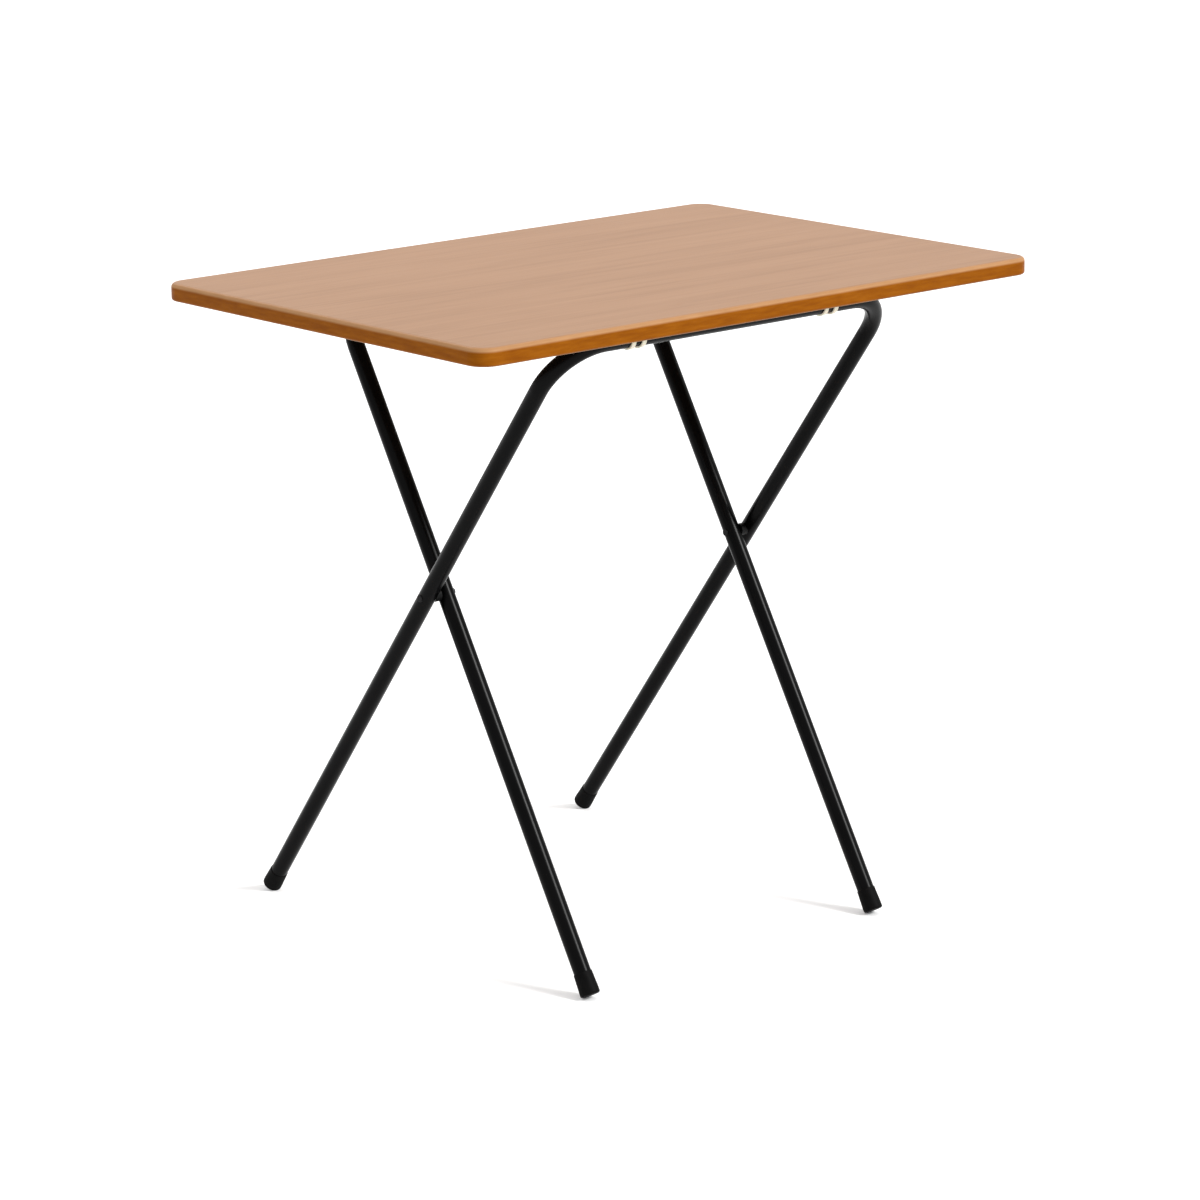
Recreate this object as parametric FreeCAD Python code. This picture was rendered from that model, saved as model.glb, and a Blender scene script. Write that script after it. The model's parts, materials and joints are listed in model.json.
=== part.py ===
"""Folding table: a laminated board on two bent-tube leg frames that cross like scissors.

Millimetres, +Z up, X along the long edge of the top and -Y towards the sitter.
The outer frame's bar lies under the front edge, where it is the hinge of the top.
The inner frame's bar sits in two open catches under the rear edge and leaves them when the top lifts.
"""

import FreeCAD, Part
import math
import os

Vector = FreeCAD.Vector
X_AXIS = Vector(1, 0, 0)
Y_AXIS = Vector(0, 1, 0)
Z_AXIS = Vector(0, 0, 1)
ORIGIN = Vector(0, 0, 0)
SIDES = {"left": -1, "right": 1}

# Top
TOP_LENGTH = 765.0
TOP_WIDTH = 535.0
TOP_HEIGHT = 720.0
BOARD_THICKNESS = 19.0
LAMINATE_THICKNESS = 0.8
CORNER_RADIUS = 22.0
TOP_ARRIS_RADIUS = 5.0
BOTTOM_ARRIS_RADIUS = 3.0

# Leg frames
TUBE_DIAMETER = 19.0
TUBE_WALL = 1.5
BEND_RADIUS = 58.0
OUTER_LEG_SPACING = 460.0
LEG_SIDE_GAP = 6.0
BAR_TO_BOARD_GAP = 0.9
FRONT_BAR_INSET = 64.0
REAR_BAR_INSET = 72.0
REAR_FOOT_REACH = 56.0
FRONT_FOOT_INSET = 58.0

# Foot caps
CAP_LENGTH = 25.0
CAP_FLOOR = 4.0
CAP_FOOT_DIAMETER = 21.6
CAP_MOUTH_DIAMETER = 20.2
CAP_FLARE_HEIGHT = 6.0
CAP_FOOT_ROUNDING = 2.2
CAP_MOUTH_ROUNDING = 0.4

# Bar clips and rest catches
CLIP_SPACING = 268.0
CATCH_SPACING = 240.0
FITTING_WIDTH = 19.0
FITTING_PLATE = 3.0
FITTING_ROUNDING = 3.0
CLIP_BAND_WIDTH = 5.0
CLIP_BAND_WALL = 1.7
CLIP_BORE_CLEARANCE = 0.08
CATCH_SEAT_CLEARANCE = 0.3
CATCH_WALL = 4.0
CATCH_REAR_ARM = 8.0
CATCH_FRONT_LIP = 3.0
FITTING_SCREW_OFFSET = 18.5
FITTING_END_MARGIN = 5.5

# Screws of the fittings
SCREW_DIAMETER = 3.5
SCREW_DEPTH = 12.0
SCREW_TIP_LENGTH = 2.5
SCREW_TIP_DIAMETER = 1.0
SCREW_HEAD_DIAMETER = 6.8
SCREW_HEAD_HEIGHT = 2.2
SCREW_HEAD_ROUNDING = 1.0
SCREW_SLOT_WIDTH = 1.0
SCREW_SLOT_LENGTH = 4.0
SCREW_SLOT_DEPTH = 1.2

# Pivots
RIVET_DIAMETER = 6.0
RIVET_RUNNING_CLEARANCE = 0.08
PIVOT_FACE_CLEARANCE = 0.3
RIVET_HEAD_DIAMETER = 8.2
RIVET_HEAD_HEIGHT = 0.8
RIVET_HEAD_CROWN = 0.6
SPACER_DIAMETER = 14.0
PIVOT_WASHER_DIAMETER = 14.0
PIVOT_WASHER_THICKNESS = 0.8

# Worked out from the values above
TUBE_RADIUS = TUBE_DIAMETER / 2
BOARD_UNDERSIDE = TOP_HEIGHT - BOARD_THICKNESS
BAR_DEPTH = BAR_TO_BOARD_GAP + TUBE_RADIUS
BAR_HEIGHT = BOARD_UNDERSIDE - BAR_DEPTH
OUTER_HALF_SPAN = OUTER_LEG_SPACING / 2
INNER_HALF_SPAN = OUTER_HALF_SPAN - TUBE_DIAMETER - LEG_SIDE_GAP
FRONT_BAR_Y = FRONT_BAR_INSET - TOP_WIDTH / 2
REAR_BAR_Y = TOP_WIDTH / 2 - REAR_BAR_INSET
REAR_FOOT_Y = TOP_WIDTH / 2 + REAR_FOOT_REACH
FRONT_FOOT_Y = FRONT_FOOT_INSET - TOP_WIDTH / 2
OUTER_LEAN = math.atan2(REAR_FOOT_Y - FRONT_BAR_Y, BAR_HEIGHT)
INNER_LEAN = math.atan2(FRONT_FOOT_Y - REAR_BAR_Y, BAR_HEIGHT)
PIVOT_DROP = (REAR_BAR_Y - FRONT_BAR_Y) / (math.tan(OUTER_LEAN) - math.tan(INNER_LEAN))
PIVOT_Y = FRONT_BAR_Y + PIVOT_DROP * math.tan(OUTER_LEAN)
PIVOT_Z = BAR_HEIGHT - PIVOT_DROP


def rod(diameter, start, end):
    """Round bar from one point to another."""
    span = end - start
    return Part.makeCylinder(diameter / 2, span.Length, start, span)


def box_between(low, high):
    """Box from its lowest to its highest corner."""
    size = high - low
    return Part.makeBox(size.x, size.y, size.z, low)


def upright_edges(shape):
    """Edges of a plate or block that run straight up."""
    return [edge for edge in shape.Edges if abs(edge.tangentAt(edge.FirstParameter).z) > 0.999]


def edges_at(shape, level):
    """Edges that lie wholly in the horizontal plane at a height."""
    flat = []
    for edge in shape.Edges:
        if all(abs(vertex.Z - level) < 1e-6 for vertex in edge.Vertexes):
            if abs(edge.CenterOfMass.z - level) < 1e-6:
                flat.append(edge)
    return flat


# ---------------------------------------------------------------- top

def whole_board():
    """The finished panel before it is told apart into its layers."""
    low = Vector(-TOP_LENGTH / 2, -TOP_WIDTH / 2, BOARD_UNDERSIDE)
    panel = box_between(low, Vector(TOP_LENGTH / 2, TOP_WIDTH / 2, TOP_HEIGHT))
    panel = panel.makeFillet(CORNER_RADIUS, upright_edges(panel))
    panel = panel.makeFillet(TOP_ARRIS_RADIUS, edges_at(panel, TOP_HEIGHT))
    return panel.makeFillet(BOTTOM_ARRIS_RADIUS, edges_at(panel, BOARD_UNDERSIDE))


def board_layer(low_z, high_z):
    """Slice of the panel between two heights, with the screw pilot holes in it."""
    slab = box_between(Vector(-TOP_LENGTH, -TOP_WIDTH, low_z), Vector(TOP_LENGTH, TOP_WIDTH, high_z))
    layer = whole_board().common(slab)
    for x, y in clip_screw_places() + catch_screw_places():
        layer = layer.cut(screw_shank(x, y))
    return layer


def top_layers():
    core_low = BOARD_UNDERSIDE + LAMINATE_THICKNESS
    core_high = TOP_HEIGHT - LAMINATE_THICKNESS
    return {
        "underside_laminate": board_layer(BOARD_UNDERSIDE, core_low),
        "board_core": board_layer(core_low, core_high),
        "top_laminate": board_layer(core_high, TOP_HEIGHT),
    }


# ---------------------------------------------------------------- leg frames

def leg_length(lean):
    """Along a leg's centreline, from the bar to the underside of its foot cap, which touches the floor."""
    tilt = abs(lean)
    foot_radius = CAP_FOOT_DIAMETER / 2
    end_height = CAP_FOOT_ROUNDING * (1 - math.cos(tilt))
    end_height += (foot_radius - CAP_FOOT_ROUNDING) * math.sin(tilt)
    return (BAR_HEIGHT - end_height) / math.cos(tilt)


def hairpin(half_span, length, diameter):
    """Solid bar bent into a U that hangs from the origin, its legs pointing down."""
    straight = half_span - BEND_RADIUS
    bend = BEND_RADIUS * math.sqrt(0.5)
    corners = {
        side: [
            Vector(side * half_span, 0, -length),
            Vector(side * half_span, 0, -BEND_RADIUS),
            Vector(side * (straight + bend), 0, bend - BEND_RADIUS),
            Vector(side * straight, 0, 0),
        ]
        for side in SIDES.values()
    }
    left, right = corners[-1], corners[1]
    path = Part.Wire([
        Part.LineSegment(left[0], left[1]).toShape(),
        Part.Arc(left[1], left[2], left[3]).toShape(),
        Part.LineSegment(left[3], right[3]).toShape(),
        Part.Arc(right[3], right[2], right[1]).toShape(),
        Part.LineSegment(right[1], right[0]).toShape(),
    ])
    section = Part.Wire(Part.makeCircle(diameter / 2, left[0], Z_AXIS))
    return path.makePipeShell([section], True, False)


def lean_from_bar(shape, bar_y, lean):
    """Swings a hanging shape about the bar's axis and lifts it to the bar's place."""
    placed = shape.copy()
    placed.rotate(ORIGIN, X_AXIS, math.degrees(lean))
    placed.translate(Vector(0, bar_y, BAR_HEIGHT))
    return placed


def leg_frame(half_span, bar_y, lean):
    """Bent tube with the two cross holes of its pivots."""
    length = leg_length(lean) - CAP_FLOOR
    tube = hairpin(half_span, length, TUBE_DIAMETER)
    tube = tube.cut(hairpin(half_span, length, TUBE_DIAMETER - 2 * TUBE_WALL))
    reach = half_span + TUBE_DIAMETER
    drop = -PIVOT_DROP / math.cos(lean)
    hole_diameter = RIVET_DIAMETER + 2 * RIVET_RUNNING_CLEARANCE
    tube = tube.cut(rod(hole_diameter, Vector(-reach, 0, drop), Vector(reach, 0, drop)))
    return lean_from_bar(tube, bar_y, lean)


def foot_cap(x, bar_y, lean):
    """Rubber cap pushed over a leg's end, flared at its foot."""
    foot = rod(CAP_FOOT_DIAMETER, ORIGIN, Vector(0, 0, CAP_FLARE_HEIGHT))
    foot = foot.makeFillet(CAP_FOOT_ROUNDING, edges_at(foot, 0))
    sleeve_height = CAP_LENGTH - CAP_FLARE_HEIGHT
    sleeve = Part.makeCone(
        CAP_FOOT_DIAMETER / 2, CAP_MOUTH_DIAMETER / 2, sleeve_height, Vector(0, 0, CAP_FLARE_HEIGHT)
    )
    sleeve = sleeve.makeFillet(CAP_MOUTH_ROUNDING, edges_at(sleeve, CAP_LENGTH))
    cap = foot.fuse(sleeve)
    cap = cap.cut(rod(TUBE_DIAMETER, Vector(0, 0, CAP_FLOOR), Vector(0, 0, 2 * CAP_LENGTH)))
    cap.translate(Vector(x, 0, -leg_length(lean)))
    return lean_from_bar(cap, bar_y, lean)


def leg_frames():
    return {
        "outer_leg_frame": leg_frame(OUTER_HALF_SPAN, FRONT_BAR_Y, OUTER_LEAN),
        "inner_leg_frame": leg_frame(INNER_HALF_SPAN, REAR_BAR_Y, INNER_LEAN),
    }


def foot_caps():
    caps = {}
    for side, sign in SIDES.items():
        caps[f"rear_{side}_foot_cap"] = foot_cap(sign * OUTER_HALF_SPAN, FRONT_BAR_Y, OUTER_LEAN)
        caps[f"front_{side}_foot_cap"] = foot_cap(sign * INNER_HALF_SPAN, REAR_BAR_Y, INNER_LEAN)
    return caps


# ---------------------------------------------------------------- fittings under the board

def fitting_plate(x, bar_y):
    """Screwed base plate of a clip or catch, flat against the board."""
    half_length = FITTING_SCREW_OFFSET + FITTING_END_MARGIN
    low = Vector(x - FITTING_WIDTH / 2, bar_y - half_length, BOARD_UNDERSIDE - FITTING_PLATE)
    high = Vector(x + FITTING_WIDTH / 2, bar_y + half_length, BOARD_UNDERSIDE)
    plate = box_between(low, high)
    return plate.makeFillet(FITTING_ROUNDING, upright_edges(plate))


def along_bar(x, bar_y, width, diameter):
    """Cylinder about a bar's axis, centred on x."""
    middle = Vector(x, bar_y, BAR_HEIGHT)
    half = Vector(width / 2, 0, 0)
    return rod(diameter, middle - half, middle + half)


def screw_places(spacing, bar_y):
    """Both fittings on a bar have a screw in front of it and one behind it."""
    places = []
    for sign in SIDES.values():
        for offset in (-FITTING_SCREW_OFFSET, FITTING_SCREW_OFFSET):
            places.append((sign * spacing / 2, bar_y + offset))
    return places


def clip_screw_places():
    return screw_places(CLIP_SPACING, FRONT_BAR_Y)


def catch_screw_places():
    return screw_places(CATCH_SPACING, REAR_BAR_Y)


def screw_shank(x, y):
    """Shank with its point, from the underside of the head upwards."""
    seat = BOARD_UNDERSIDE - FITTING_PLATE
    straight_end = BOARD_UNDERSIDE + SCREW_DEPTH - SCREW_TIP_LENGTH
    shank = rod(SCREW_DIAMETER, Vector(x, y, seat), Vector(x, y, straight_end))
    point = Part.makeCone(
        SCREW_DIAMETER / 2, SCREW_TIP_DIAMETER / 2, SCREW_TIP_LENGTH, Vector(x, y, straight_end)
    )
    return shank.fuse(point)


def screw(x, y):
    """Pan-head wood screw with a cross recess, driven upwards through a fitting into the board."""
    seat = BOARD_UNDERSIDE - FITTING_PLATE
    face = seat - SCREW_HEAD_HEIGHT
    head = rod(SCREW_HEAD_DIAMETER, Vector(x, y, face), Vector(x, y, seat))
    head = head.makeFillet(SCREW_HEAD_ROUNDING, edges_at(head, face))
    for length, width in ((SCREW_SLOT_LENGTH, SCREW_SLOT_WIDTH), (SCREW_SLOT_WIDTH, SCREW_SLOT_LENGTH)):
        half = Vector(length / 2, width / 2, 0)
        bottom = Vector(x, y, face)
        recess_top = Vector(0, 0, SCREW_SLOT_DEPTH)
        head = head.cut(box_between(bottom - half, bottom + half + recess_top))
    return head.fuse(screw_shank(x, y))


def with_screw_holes(shape, places):
    for x, y in places:
        shape = shape.cut(screw_shank(x, y))
    return shape


def bar_clip(x):
    """Nylon clip: two bands round the front bar, joined by the base plate, so that the top can turn."""
    clip = fitting_plate(x, FRONT_BAR_Y)
    band_diameter = TUBE_DIAMETER + 2 * (CLIP_BORE_CLEARANCE + CLIP_BAND_WALL)
    band_offset = (FITTING_WIDTH - CLIP_BAND_WIDTH) / 2
    for sign in SIDES.values():
        band_x = x + sign * band_offset
        band = along_bar(band_x, FRONT_BAR_Y, CLIP_BAND_WIDTH, band_diameter)
        low = Vector(band_x - CLIP_BAND_WIDTH / 2, FRONT_BAR_Y - band_diameter / 2, BAR_HEIGHT)
        high = Vector(band_x + CLIP_BAND_WIDTH / 2, FRONT_BAR_Y + band_diameter / 2, BOARD_UNDERSIDE)
        clip = clip.fuse(band.fuse(box_between(low, high)))
    below_board = box_between(
        Vector(x - FITTING_WIDTH, FRONT_BAR_Y - TOP_WIDTH, 0),
        Vector(x + FITTING_WIDTH, FRONT_BAR_Y + TOP_WIDTH, BOARD_UNDERSIDE),
    )
    clip = clip.common(below_board)
    bore = along_bar(x, FRONT_BAR_Y, 2 * FITTING_WIDTH, TUBE_DIAMETER + 2 * CLIP_BORE_CLEARANCE)
    return with_screw_holes(clip.cut(bore), clip_screw_places()).removeSplitter()


def rest_catch(x):
    """Nylon cradle open downwards: its long rear arm stops the rear bar from sliding back."""
    seat_radius = TUBE_RADIUS + CATCH_SEAT_CLEARANCE
    left, right = x - FITTING_WIDTH / 2, x + FITTING_WIDTH / 2
    rear_low = Vector(left, REAR_BAR_Y, BAR_HEIGHT - CATCH_REAR_ARM)
    rear_high = Vector(right, REAR_BAR_Y + seat_radius + CATCH_WALL, BOARD_UNDERSIDE)
    front_low = Vector(left, REAR_BAR_Y - seat_radius - CATCH_WALL, BAR_HEIGHT + CATCH_FRONT_LIP)
    front_high = Vector(right, REAR_BAR_Y, BOARD_UNDERSIDE)
    catch = fitting_plate(x, REAR_BAR_Y)
    catch = catch.fuse(box_between(rear_low, rear_high))
    catch = catch.fuse(box_between(front_low, front_high))
    catch = catch.cut(along_bar(x, REAR_BAR_Y, 2 * FITTING_WIDTH, 2 * seat_radius))
    mouth_low = Vector(left, REAR_BAR_Y - seat_radius, BAR_HEIGHT - 2 * CATCH_REAR_ARM)
    mouth_high = Vector(right, REAR_BAR_Y + seat_radius, BAR_HEIGHT)
    catch = catch.cut(box_between(mouth_low, mouth_high))
    return with_screw_holes(catch, catch_screw_places()).removeSplitter()


def fittings():
    pieces = {}
    for side, sign in SIDES.items():
        pieces[f"{side}_bar_clip"] = bar_clip(sign * CLIP_SPACING / 2)
        pieces[f"{side}_rest_catch"] = rest_catch(sign * CATCH_SPACING / 2)
    pieces["bar_clip_screws"] = Part.makeCompound([screw(x, y) for x, y in clip_screw_places()])
    pieces["rest_catch_screws"] = Part.makeCompound([screw(x, y) for x, y in catch_screw_places()])
    return pieces


# ---------------------------------------------------------------- pivots

def at_pivot(shape, sign):
    """Places a piece that was built along +Z, measured outwards from the table's middle, at a pivot."""
    placed = shape.copy()
    placed.rotate(ORIGIN, Y_AXIS, sign * 90)
    placed.translate(Vector(0, PIVOT_Y, PIVOT_Z))
    return placed


def saddle_depth(diameter):
    """How far a round piece of a diameter has to reach past the leg's crest to close on its curve."""
    radius = diameter / 2
    return TUBE_RADIUS - math.sqrt(TUBE_RADIUS * TUBE_RADIUS - radius * radius)


def cut_saddle(shape, sign):
    """Hollows a placed piece to the round of the outer leg."""
    length = leg_length(OUTER_LEAN)
    leg = rod(TUBE_DIAMETER, Vector(sign * OUTER_HALF_SPAN, 0, -length), Vector(sign * OUTER_HALF_SPAN, 0, 0))
    return shape.cut(lean_from_bar(leg, FRONT_BAR_Y, OUTER_LEAN))


def disc(diameter, low, high):
    """Round piece about the pivot's axis."""
    return rod(diameter, Vector(0, 0, low), Vector(0, 0, high))


OUTER_FACE = OUTER_HALF_SPAN + TUBE_RADIUS
WASHER_FACE = INNER_HALF_SPAN + TUBE_RADIUS + PIVOT_FACE_CLEARANCE
SPACER_FACE = WASHER_FACE + PIVOT_WASHER_THICKNESS
TAIL_FACE = INNER_HALF_SPAN - TUBE_RADIUS - PIVOT_FACE_CLEARANCE
TAIL_END = TAIL_FACE - RIVET_HEAD_HEIGHT


def pivot_rivet(sign):
    """Rivet through both legs: its head is set down on the outer leg, its tail is clear of the inner one."""
    head_top = OUTER_FACE + RIVET_HEAD_HEIGHT
    head = disc(RIVET_HEAD_DIAMETER, OUTER_FACE - saddle_depth(RIVET_HEAD_DIAMETER), head_top)
    head = head.makeFillet(RIVET_HEAD_CROWN, edges_at(head, head_top))
    tail = disc(RIVET_HEAD_DIAMETER, TAIL_END, TAIL_FACE)
    tail = tail.makeFillet(RIVET_HEAD_CROWN, edges_at(tail, TAIL_END))
    shank = at_pivot(disc(RIVET_DIAMETER, TAIL_FACE, OUTER_FACE), sign)
    return cut_saddle(at_pivot(head, sign), sign).fuse(shank).fuse(at_pivot(tail, sign))


def pivot_spacer(sign):
    """Nylon spacer between the legs, saddled on the outer leg and flat towards the inner one."""
    high = OUTER_HALF_SPAN - TUBE_RADIUS + saddle_depth(SPACER_DIAMETER)
    spacer = disc(SPACER_DIAMETER, SPACER_FACE, high).cut(disc(RIVET_DIAMETER, SPACER_FACE, high))
    return cut_saddle(at_pivot(spacer, sign), sign)


def pivot_washer(sign):
    """Steel washer that keeps the inner leg off the spacer."""
    washer = disc(PIVOT_WASHER_DIAMETER, WASHER_FACE, SPACER_FACE)
    return at_pivot(washer.cut(disc(RIVET_DIAMETER, WASHER_FACE, SPACER_FACE)), sign)


def pivots():
    pieces = {}
    for side, sign in SIDES.items():
        pieces[f"{side}_pivot_rivet"] = pivot_rivet(sign)
        pieces[f"{side}_pivot_spacer"] = pivot_spacer(sign)
        pieces[f"{side}_pivot_washer"] = pivot_washer(sign)
    return pieces


def middle_shift():
    """Along Y, from the board's middle to the middle of the whole table's footprint."""
    foot_radius = CAP_FOOT_DIAMETER / 2
    length = leg_length(OUTER_LEAN)
    corner = (foot_radius - CAP_FOOT_ROUNDING) * math.cos(OUTER_LEAN)
    centre_y = FRONT_BAR_Y + (length - CAP_FOOT_ROUNDING) * math.sin(OUTER_LEAN)
    rear_end = centre_y + corner + CAP_FOOT_ROUNDING
    return (TOP_WIDTH / 2 - rear_end) / 2


def main():
    pieces = {}
    for group in (top_layers(), leg_frames(), foot_caps(), fittings(), pivots()):
        pieces.update(group)
    shift = middle_shift()
    os.makedirs("parts", exist_ok=True)
    for name, shape in pieces.items():
        shape.translate(Vector(0, shift, 0))
        shape.exportStep(f"parts/{name}.step")
    print(f"{len(pieces)} nodes")
    print(f"top hinge at y {FRONT_BAR_Y + shift:.4f}, z {BAR_HEIGHT:.4f}")
    print(f"leg pivot at y {PIVOT_Y + shift:.4f}, z {PIVOT_Z:.4f}")
    print(f"angle between the frames {math.degrees(OUTER_LEAN - INNER_LEAN):.4f}")
    print(f"worktop centre at y {shift:.4f}")


main()
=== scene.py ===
import bpy
import json
import math
from mathutils import Matrix, Vector

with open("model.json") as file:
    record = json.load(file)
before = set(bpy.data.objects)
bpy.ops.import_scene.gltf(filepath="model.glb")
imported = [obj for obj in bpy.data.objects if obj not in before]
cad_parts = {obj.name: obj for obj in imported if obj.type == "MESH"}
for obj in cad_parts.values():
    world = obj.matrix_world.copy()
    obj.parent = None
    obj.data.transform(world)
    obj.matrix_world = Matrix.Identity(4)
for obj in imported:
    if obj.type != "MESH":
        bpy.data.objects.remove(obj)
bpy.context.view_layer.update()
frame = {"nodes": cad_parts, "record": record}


# ---------------------------------------------------------------- node helpers

# Sockets of a Mix node in its colour mode, which have the same names as in its other modes.
MIX_FACTOR, MIX_FIRST, MIX_SECOND, MIX_RESULT = 0, 6, 7, 2


class Nodes:
    """Short names for building one material's node tree."""

    def __init__(self, name):
        self.material = bpy.data.materials.new(name)
        self.material.use_nodes = True
        self.tree = self.material.node_tree
        self.shader = self.tree.nodes["Principled BSDF"]
        self.coordinates = self.tree.nodes.new("ShaderNodeTexCoord")
        self.place = self.coordinates.outputs["Object"]

    def link(self, output, socket):
        self.tree.links.new(output, socket)

    def set(self, **values):
        for name, value in values.items():
            self.shader.inputs[name.replace("_", " ")].default_value = value

    def base_color(self, output):
        self.link(output, self.shader.inputs["Base Color"])

    def roughness(self, output):
        self.link(output, self.shader.inputs["Roughness"])

    def scaled(self, source, scale):
        mapping = self.tree.nodes.new("ShaderNodeMapping")
        mapping.inputs["Scale"].default_value = scale
        self.link(source, mapping.inputs["Vector"])
        return mapping.outputs["Vector"]

    def noise(self, source, scale, detail=2.0, roughness=0.5, distortion=0.0):
        node = self.tree.nodes.new("ShaderNodeTexNoise")
        node.inputs["Scale"].default_value = scale
        node.inputs["Detail"].default_value = detail
        node.inputs["Roughness"].default_value = roughness
        node.inputs["Distortion"].default_value = distortion
        self.link(source, node.inputs["Vector"])
        return node.outputs["Fac"]

    def ramp(self, factor, stops):
        node = self.tree.nodes.new("ShaderNodeValToRGB")
        elements = node.color_ramp.elements
        while len(elements) < len(stops):
            elements.new(0.5)
        for element, (position, colour) in zip(elements, stops):
            element.position = position
            element.color = (*colour, 1.0)
        self.link(factor, node.inputs["Fac"])
        return node.outputs["Color"]

    def span(self, factor, low, high, start=0.0, end=1.0):
        """Maps start..end onto low..high and holds the ends."""
        node = self.tree.nodes.new("ShaderNodeMapRange")
        ends = {"From Min": start, "From Max": end, "To Min": low, "To Max": high}
        for name, value in ends.items():
            node.inputs[name].default_value = value
        self.link(factor, node.inputs["Value"])
        return node.outputs["Result"]

    def math(self, operation, first, second):
        """The first value is a socket; the second is a socket or a number."""
        node = self.tree.nodes.new("ShaderNodeMath")
        node.operation = operation
        self.link(first, node.inputs[0])
        if isinstance(second, float):
            node.inputs[1].default_value = second
        else:
            self.link(second, node.inputs[1])
        return node.outputs["Value"]

    def mix(self, factor, first, second):
        node = self.tree.nodes.new("ShaderNodeMix")
        node.data_type = "RGBA"
        self.link(factor, node.inputs[MIX_FACTOR])
        self.link(first, node.inputs[MIX_FIRST])
        self.link(second, node.inputs[MIX_SECOND])
        return node.outputs[MIX_RESULT]

    def facing_up(self):
        """How far the surface faces up: 1 on a flat top, 0 on a side, -1 on an underside."""
        split = self.tree.nodes.new("ShaderNodeSeparateXYZ")
        self.link(self.coordinates.outputs["Normal"], split.inputs[0])
        return split.outputs["Z"]

    def bump(self, height, strength, distance):
        node = self.tree.nodes.new("ShaderNodeBump")
        node.inputs["Strength"].default_value = strength
        node.inputs["Distance"].default_value = distance
        self.link(height, node.inputs["Height"])
        self.link(node.outputs["Normal"], self.shader.inputs["Normal"])


# ---------------------------------------------------------------- colours
# Each is a row of (place on the ramp, linear colour).

LAMINATE_FLAT = (
    (0.38, (0.256, 0.129, 0.060)),
    (0.50, (0.296, 0.155, 0.077)),
    (0.64, (0.322, 0.173, 0.089)),
)
# Painted highlight: a lighter, warmer laminate colour for the rounded-over edge.
LAMINATE_ROLLED_HIGHLIGHT = ((0.35, (0.325, 0.165, 0.070)), (0.65, (0.365, 0.190, 0.086)))
EDGE_STAIN = (
    (0.30, (0.158, 0.042, 0.0012)),
    (0.52, (0.188, 0.054, 0.0015)),
    (0.75, (0.220, 0.068, 0.003)),
)
# Painted highlight on the edge's rounded arrises: a lighter colour than the stain.
EDGE_ARRIS_HIGHLIGHT = ((0.30, (0.305, 0.158, 0.070)), (0.70, (0.345, 0.184, 0.086)))
BACKING = ((0.35, (0.20, 0.110, 0.060)), (0.65, (0.27, 0.155, 0.088)))
COAT_BLACK = ((0.3, (0.0004, 0.0004, 0.0004)), (0.7, (0.0012, 0.0012, 0.0013)))
RUBBER_BLACK = ((0.35, (0.001, 0.001, 0.001)), (0.75, (0.003, 0.0029, 0.0028)))
NYLON_CREAM = ((0.3, (0.56, 0.52, 0.40)), (0.7, (0.63, 0.59, 0.47)))
ZINC_GREY = ((0.3, (0.50, 0.50, 0.47)), (0.7, (0.66, 0.66, 0.64)))
STEEL_BLACK = ((0.3, (0.002, 0.002, 0.002)), (0.7, (0.005, 0.005, 0.0055)))
PLASTIC_BLACK = ((0.3, (0.002, 0.002, 0.002)), (0.7, (0.004, 0.004, 0.0042)))

# The grain runs along X: each scale stretches its noise that way.
BROAD_STRETCH = (1.0, 12.0, 12.0)
STREAK_STRETCH = (1.2, 46.0, 46.0)
FINE_STRETCH = (6.0, 200.0, 200.0)
BROAD_SHARE, STREAK_SHARE, FINE_SHARE = 0.35, 0.40, 0.25


# ---------------------------------------------------------------- materials

def wood_laminate():
    """Pale wood-grain laminate; where it rounds over the edge it carries a painted highlight, a little
    lighter and warmer than the flat.
    """
    n = Nodes("wood_laminate")
    broad = n.noise(n.scaled(n.place, BROAD_STRETCH), scale=3.0, detail=4.0, roughness=0.55, distortion=0.6)
    streak_place = n.scaled(n.place, STREAK_STRETCH)
    streaks = n.noise(streak_place, scale=4.0, detail=4.0, roughness=0.65, distortion=0.3)
    fine = n.noise(n.scaled(n.place, FINE_STRETCH), scale=5.0, detail=3.0, roughness=0.6)
    bands = n.math("ADD", n.math("MULTIPLY", broad, BROAD_SHARE), n.math("MULTIPLY", streaks, STREAK_SHARE))
    grain = n.math("ADD", bands, n.math("MULTIPLY", fine, FINE_SHARE))
    flat = n.ramp(grain, LAMINATE_FLAT)
    rolled_highlight = n.ramp(fine, LAMINATE_ROLLED_HIGHLIGHT)
    # Painted highlight: the lighter colour is mixed in wherever the laminate tilts away from facing
    # straight up.
    n.base_color(n.mix(n.span(n.facing_up(), low=1.0, high=0.0, start=0.86, end=0.995), flat, rolled_highlight))
    n.roughness(n.span(fine, low=0.34, high=0.46))
    n.set(Specular_IOR_Level=0.14)
    n.bump(fine, strength=0.04, distance=0.0004)
    return n.material


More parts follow.
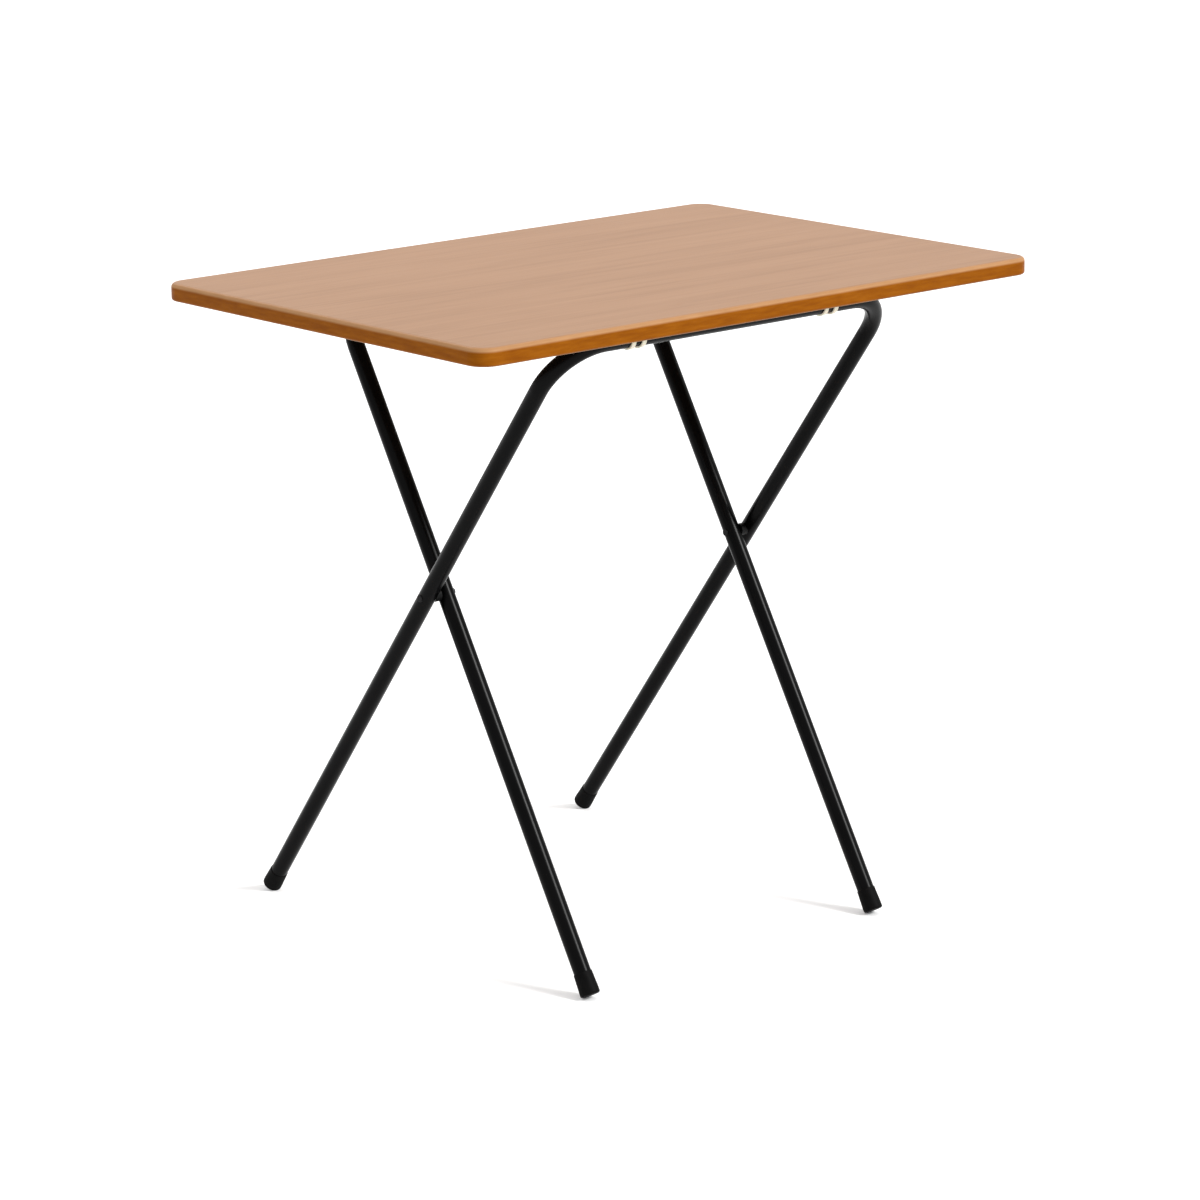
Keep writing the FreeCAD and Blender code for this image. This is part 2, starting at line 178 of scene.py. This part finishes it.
def lacquered_edge():
    """Stained and lacquered edge: deep orange brown, with a painted highlight where it rolls into the flat
    faces.
    """
    n = Nodes("lacquered_edge")
    cloud = n.noise(n.scaled(n.place, (6.0, 6.0, 40.0)), scale=6.0, detail=4.0, roughness=0.6)
    stain = n.ramp(cloud, EDGE_STAIN)
    arris_highlight = n.ramp(cloud, EDGE_ARRIS_HIGHLIGHT)
    # Painted highlight: the lighter colour is mixed in fully where the edge rolls up into the top, and up
    # to a quarter of it where it rolls down into the underside.
    up = n.span(n.facing_up(), low=0.0, high=1.0, start=0.0, end=0.36)
    down = n.span(n.facing_up(), low=0.25, high=0.0, start=-0.9, end=-0.2)
    n.base_color(n.mix(n.math("MAXIMUM", up, down), stain, arris_highlight))
    n.roughness(n.span(cloud, low=0.24, high=0.36))
    n.set(Specular_IOR_Level=0.025)
    n.bump(n.noise(n.place, scale=900.0), strength=0.04, distance=0.0003)
    return n.material


def backing_laminate():
    n = Nodes("backing_laminate")
    speck = n.noise(n.place, scale=700.0, detail=3.0, roughness=0.6)
    n.base_color(n.ramp(speck, BACKING))
    n.roughness(n.span(speck, low=0.55, high=0.7))
    n.set(Specular_IOR_Level=0.2)
    n.bump(speck, strength=0.1, distance=0.0002)
    return n.material


def powder_coat():
    """Black powder coat with a slight peel."""
    n = Nodes("powder_coat")
    peel = n.noise(n.place, scale=900.0)
    patch = n.noise(n.place, scale=14.0)
    n.base_color(n.ramp(patch, COAT_BLACK))
    n.roughness(n.span(patch, low=0.23, high=0.28))
    n.set(Specular_IOR_Level=0.06)
    n.bump(peel, strength=0.05, distance=0.0004)
    return n.material


def black_rubber():
    n = Nodes("black_rubber")
    speck = n.noise(n.place, scale=1500.0, detail=3.0, roughness=0.6)
    dust = n.noise(n.place, scale=90.0, detail=3.0, roughness=0.6)
    n.base_color(n.ramp(dust, RUBBER_BLACK))
    n.roughness(n.span(dust, low=0.5, high=0.68))
    n.set(Specular_IOR_Level=0.05)
    n.bump(speck, strength=0.12, distance=0.0002)
    return n.material


def cream_nylon():
    n = Nodes("cream_nylon")
    cloud = n.noise(n.place, scale=120.0, detail=3.0)
    n.base_color(n.ramp(cloud, NYLON_CREAM))
    n.roughness(n.span(cloud, low=0.35, high=0.48))
    n.bump(n.noise(n.place, scale=1800.0), strength=0.08, distance=0.0002)
    n.set(Subsurface_Weight=0.1, Subsurface_Scale=0.002)
    return n.material


def zinc_screw():
    n = Nodes("zinc_screw")
    cloud = n.noise(n.place, scale=600.0, detail=3.0, roughness=0.6)
    n.base_color(n.ramp(cloud, ZINC_GREY))
    n.roughness(n.span(cloud, low=0.24, high=0.42))
    n.set(Metallic=1.0)
    return n.material


def black_steel():
    n = Nodes("black_steel")
    cloud = n.noise(n.place, scale=500.0, detail=3.0, roughness=0.6)
    n.base_color(n.ramp(cloud, STEEL_BLACK))
    n.roughness(n.span(cloud, low=0.28, high=0.45))
    n.set(Specular_IOR_Level=0.09)
    n.bump(cloud, strength=0.05, distance=0.0002)
    return n.material


def black_plastic():
    n = Nodes("black_plastic")
    grain = n.noise(n.place, scale=1600.0)
    n.base_color(n.ramp(grain, PLASTIC_BLACK))
    n.roughness(n.span(grain, low=0.4, high=0.55))
    n.set(Specular_IOR_Level=0.08)
    n.bump(grain, strength=0.1, distance=0.0002)
    return n.material


MAKERS = {
    "wood_laminate": wood_laminate,
    "lacquered_edge": lacquered_edge,
    "backing_laminate": backing_laminate,
    "black_tube": powder_coat,
    "black_rubber": black_rubber,
    "cream_nylon": cream_nylon,
    "zinc_screw": zinc_screw,
    "black_steel": black_steel,
    "black_plastic": black_plastic,
}


def paint_cad_nodes():
    made = {slot: make() for slot, make in MAKERS.items()}
    for entry in frame["record"]["subparts"]:
        node = frame["nodes"][entry["node"]]
        node.data.materials.clear()
        node.data.materials.append(made[entry["material_slot"]])


paint_cad_nodes()


# ---------------------------------------------------------------- stage, lights and camera

FLOOR_HALF_SIZE = 20.0
FLOOR_COLOUR = (0.92, 0.92, 0.92, 1.0)
FLOOR_ROUGHNESS = 0.6

WORLD_COLOUR = (1, 1, 1, 1)
WORLD_STRENGTH = 1.05

# Towards the light, strength, and angular size in degrees.
KEY_SUN = ((0.33, -0.73, 0.60), 3.2, 17)
RIM_SUN = ((0.05, 0.78, 0.62), 0.4, 30)

CAMERA_AZIMUTH = math.radians(40.38)
CAMERA_ELEVATION = math.radians(14.28)
CAMERA_ROLL = math.radians(-0.77)
CAMERA_DISTANCE = 4.606
CAMERA_AIM = Vector((0.0093, -0.0079, 0.3497))
CAMERA_LENS = 126.34
SENSOR_WIDTH = 36.0
CAMERA_CLIP_END = 100.0


def floor_white():
    """Plain pale floor that can be seen through from below, so that the underside can be looked at."""
    n = Nodes("floor_white")
    n.set(Base_Color=FLOOR_COLOUR, Roughness=FLOOR_ROUGHNESS)
    nodes = n.tree.nodes
    from_below = nodes.new("ShaderNodeNewGeometry").outputs["Backfacing"]
    clear = nodes.new("ShaderNodeBsdfTransparent").outputs["BSDF"]
    either = nodes.new("ShaderNodeMixShader")
    n.link(from_below, either.inputs[0])
    n.link(n.shader.outputs["BSDF"], either.inputs[1])
    n.link(clear, either.inputs[2])
    n.link(either.outputs["Shader"], nodes["Material Output"].inputs["Surface"])
    return n.material


def floor():
    mesh = bpy.data.meshes.new("floor")
    half = FLOOR_HALF_SIZE
    corners = [(-half, -half, 0), (half, -half, 0), (half, half, 0), (-half, half, 0)]
    mesh.from_pydata(corners, [], [(0, 1, 2, 3)])
    obj = bpy.data.objects.new("floor", mesh)
    bpy.context.scene.collection.objects.link(obj)
    mesh.materials.append(floor_white())


def sun(name, towards, energy, spread):
    """Distant soft light; the vector points from the table to the light."""
    data = bpy.data.lights.new(name, "SUN")
    data.energy = energy
    data.angle = math.radians(spread)
    obj = bpy.data.objects.new(name, data)
    obj.rotation_euler = Vector(towards).to_track_quat("Z", "Y").to_euler()
    bpy.context.scene.collection.objects.link(obj)


def world_light():
    world = bpy.data.worlds.new("studio")
    world.use_nodes = True
    background = world.node_tree.nodes["Background"]
    background.inputs["Color"].default_value = WORLD_COLOUR
    background.inputs["Strength"].default_value = WORLD_STRENGTH
    bpy.context.scene.world = world


def camera():
    data = bpy.data.cameras.new("camera")
    data.lens = CAMERA_LENS
    data.sensor_width = SENSOR_WIDTH
    data.clip_end = CAMERA_CLIP_END
    obj = bpy.data.objects.new("camera", data)
    level = math.cos(CAMERA_ELEVATION)
    forward = Vector((
        math.sin(CAMERA_AZIMUTH) * level,
        math.cos(CAMERA_AZIMUTH) * level,
        -math.sin(CAMERA_ELEVATION),
    ))
    facing = forward.to_track_quat("-Z", "Y").to_matrix()
    roll = Matrix.Rotation(-CAMERA_ROLL, 3, forward)
    eye = Matrix.Translation(CAMERA_AIM - forward * CAMERA_DISTANCE)
    obj.matrix_world = eye @ (roll @ facing).to_4x4()
    bpy.context.scene.collection.objects.link(obj)
    bpy.context.scene.camera = obj


floor()
world_light()
sun("key", *KEY_SUN)
sun("rim", *RIM_SUN)
camera()
bpy.context.scene.view_settings.view_transform = "Standard"
